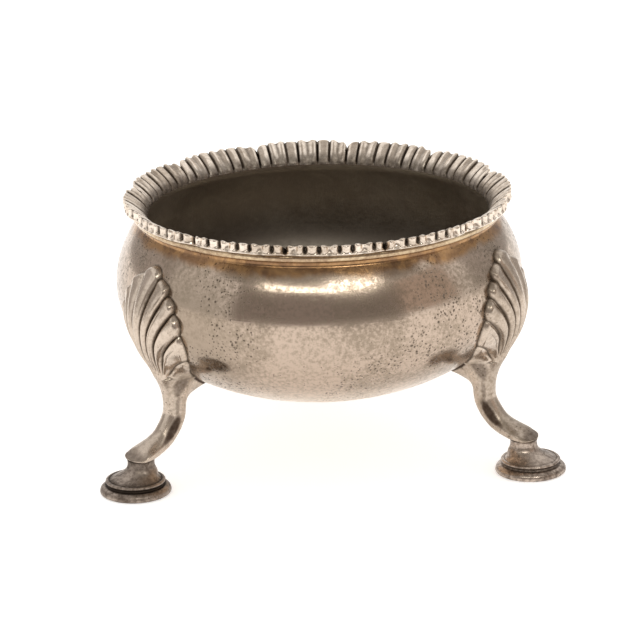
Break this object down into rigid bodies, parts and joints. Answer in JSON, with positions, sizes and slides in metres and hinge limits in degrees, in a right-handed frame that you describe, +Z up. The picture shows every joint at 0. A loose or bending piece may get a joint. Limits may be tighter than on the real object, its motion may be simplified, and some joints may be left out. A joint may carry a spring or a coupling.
{
  "type": "salt cellar",
  "caption": "Open silver salt cellar: a round bellied bowl with a gadrooned scalloped border, on cabriole legs with fluted shell knees and stepped pad feet.",
  "frame": {"origin": "on the bowl's axis, at the height of the table that the feet stand on", "axes": "+Z up along the bowl's axis; one leg points along +Y and the other two lie to the left and right of -Y"},
  "size_m": [0.0768, 0.0773, 0.0445],
  "materials": {
    "bowl_silver": "worn sterling silver, soft polish with dark tarnish in the hollows",
    "rim_silver": "worn sterling silver, soft polish with dark tarnish in the hollows",
    "shell_silver": "worn sterling silver, soft polish with dark tarnish in the hollows",
    "leg_silver": "worn sterling silver, soft polish with dark tarnish in the hollows",
    "foot_silver": "worn sterling silver, soft polish with dark tarnish in the hollows"
  },
  "bodies": {
    "root": {"bowl": "bowl_silver", "collar": "rim_silver", "border_length_1": "rim_silver", "border_length_2": "rim_silver", "border_length_3": "rim_silver", "border_length_4": "rim_silver", "shell_knee_1": "shell_silver", "shell_knee_2": "shell_silver", "shell_knee_3": "shell_silver", "leg_1": "leg_silver", "leg_2": "leg_silver", "leg_3": "leg_silver", "pad_foot_1": "foot_silver", "pad_foot_2": "foot_silver", "pad_foot_3": "foot_silver"}
  },
  "joints": []
}
